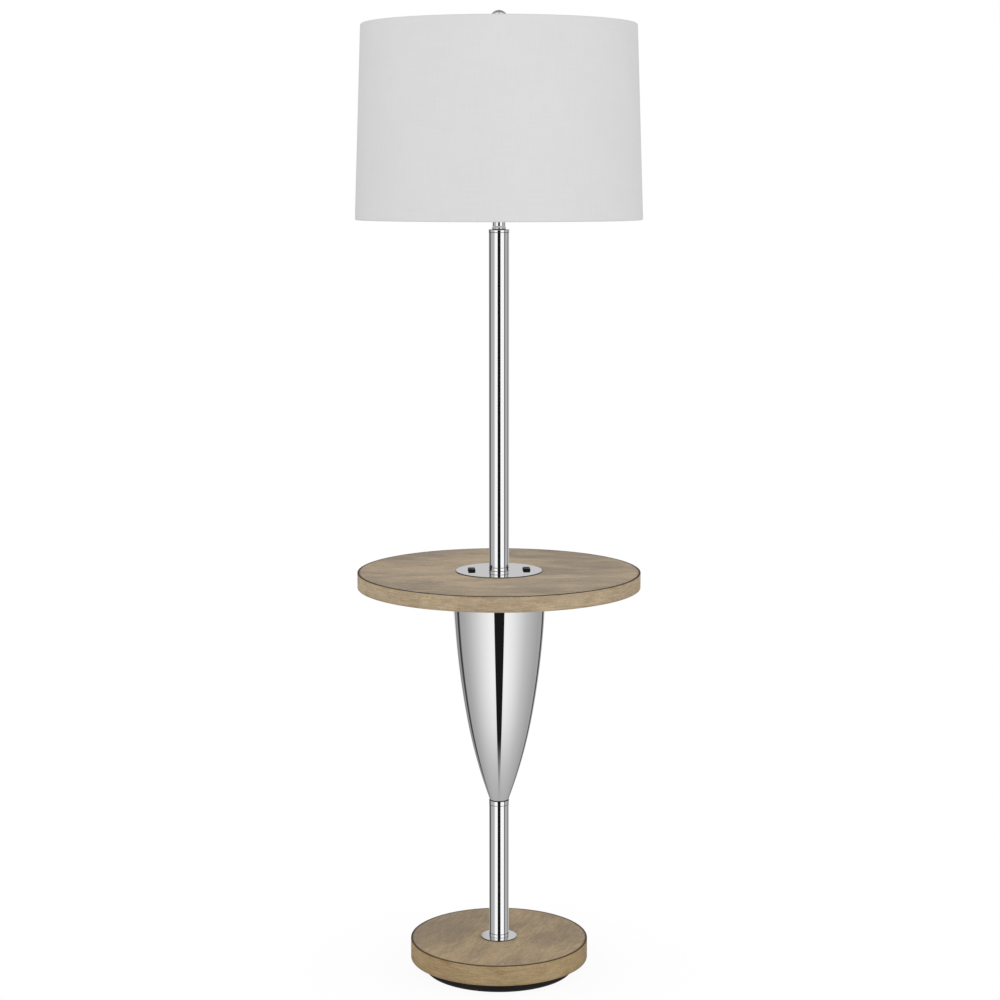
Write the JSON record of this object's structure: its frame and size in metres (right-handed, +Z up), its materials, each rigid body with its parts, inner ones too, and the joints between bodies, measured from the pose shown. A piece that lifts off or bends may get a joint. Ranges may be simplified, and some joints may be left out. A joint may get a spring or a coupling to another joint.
{
  "type": "floor lamp with table",
  "caption": "Floor lamp on a round weighted base, with a tapering metal vase under a round tray table, two USB ports and a tapered drum shade.",
  "frame": {"origin": "on the floor, at the middle of the base", "axes": "+Z up along the poles; the USB ports lie on the X axis, the cord inlet faces +Y and the switch knob faces -Y"},
  "size_m": [0.4596, 0.4596, 1.561],
  "materials": {
    "felt_foam": "fine closed-cell foam, matt",
    "black_iron": "black powder coat, satin",
    "black_moulding": "moulded, fine grain",
    "wood_top": "grey-washed oak veneer, satin lacquer",
    "wood_edge": "grey-washed oak strip, satin lacquer",
    "polished_chrome": "mirror-polished plating",
    "zinc_steel": "bright zinc plating",
    "port_shell": "nickel-plated folded sheet",
    "white_tongue": "moulded",
    "nickel_wire": "nickel-plated, slightly satin",
    "nickel_shell": "nickel-plated drawn brass",
    "fibre_liner": "pressed fibre board, uncoated",
    "moulded_phenolic": "moulded phenolic",
    "brass": "bright",
    "bulb_cap_metal": "drawn, bright",
    "opal_glass": "inner-frosted opal",
    "white_wire": "white powder coat",
    "shade_backing": "translucent styrene sheet",
    "shade_linen": "fine white linen weave laminated to the backing"
  },
  "bodies": {
    "stand": {"floor_pad": "felt_foam", "base_weight": "black_iron", "cord_bushing": "black_moulding", "usb_bezel_left": "black_moulding", "usb_bezel_right": "black_moulding", "usb_housing_left": "black_moulding", "usb_housing_right": "black_moulding", "usb_converter": "black_moulding", "base_core": "wood_top", "table_core": "wood_top", "base_edge_band": "wood_edge", "table_edge_band": "wood_edge", "base_flange": "polished_chrome", "lower_pole_foot": "polished_chrome", "lower_pole": "polished_chrome", "lower_pole_cap": "polished_chrome", "vase": "polished_chrome", "table_plate": "polished_chrome", "upper_pole_foot": "polished_chrome", "upper_pole": "polished_chrome", "upper_pole_cap": "polished_chrome", "neck_seat": "polished_chrome", "neck_tube": "polished_chrome", "base_nut": "zinc_steel", "base_washer": "zinc_steel", "lower_rod": "zinc_steel", "rod_coupler": "zinc_steel", "upper_rod": "zinc_steel", "vase_washer": "zinc_steel", "vase_nut": "zinc_steel", "table_nut": "zinc_steel", "table_bracket": "zinc_steel", "bracket_screws": "zinc_steel", "usb_shell_left": "port_shell", "usb_shell_right": "port_shell", "usb_tongue_left": "white_tongue", "usb_tongue_right": "white_tongue", "harp_saddle": "nickel_wire", "harp": "nickel_wire", "socket_cap": "nickel_shell", "socket_shell": "nickel_shell", "socket_liner": "fibre_liner", "socket_body": "moulded_phenolic", "screw_shell": "brass", "centre_contact": "brass"},
    "switch": {"switch_stem": "brass", "switch_knob": "moulded_phenolic"},
    "sleeve_left": {"harp_sleeve_left": "nickel_wire"},
    "sleeve_right": {"harp_sleeve_right": "nickel_wire"},
    "shade": {"shade_fabric": "shade_linen", "shade_liner": "shade_backing", "shade_top_ring": "white_wire", "shade_bottom_ring": "white_wire", "spider": "white_wire"},
    "finial": {"finial": "polished_chrome"},
    "bulb": {"bulb_cap": "bulb_cap_metal", "bulb_glass": "opal_glass"}
  },
  "joints": [
    {"name": "switch_turn", "type": "hinge", "parent": "stand", "child": "switch", "pos_m": [0, -0.02, 1.2995], "axis": [0, -1, 0], "continuous": true},
    {"name": "harp_sleeve_left_lift", "type": "slide", "parent": "stand", "child": "sleeve_left", "axis": [0, 0, 1], "range_m": [0, 0.014]},
    {"name": "harp_sleeve_right_lift", "type": "slide", "parent": "stand", "child": "sleeve_right", "axis": [0, 0, 1], "range_m": [0, 0.014]},
    {"name": "shade_turn", "type": "hinge", "parent": "stand", "child": "shade", "pos_m": [0, 0, 1.5255], "axis": [0, 0, 1], "continuous": true},
    {"name": "finial_turn", "type": "hinge", "parent": "stand", "child": "finial", "pos_m": [0, 0, 1.5255], "axis": [0, 0, 1], "continuous": true},
    {"name": "bulb_turn", "type": "hinge", "parent": "stand", "child": "bulb", "pos_m": [0, 0, 1.3115], "axis": [0, 0, 1], "continuous": true}
  ]
}
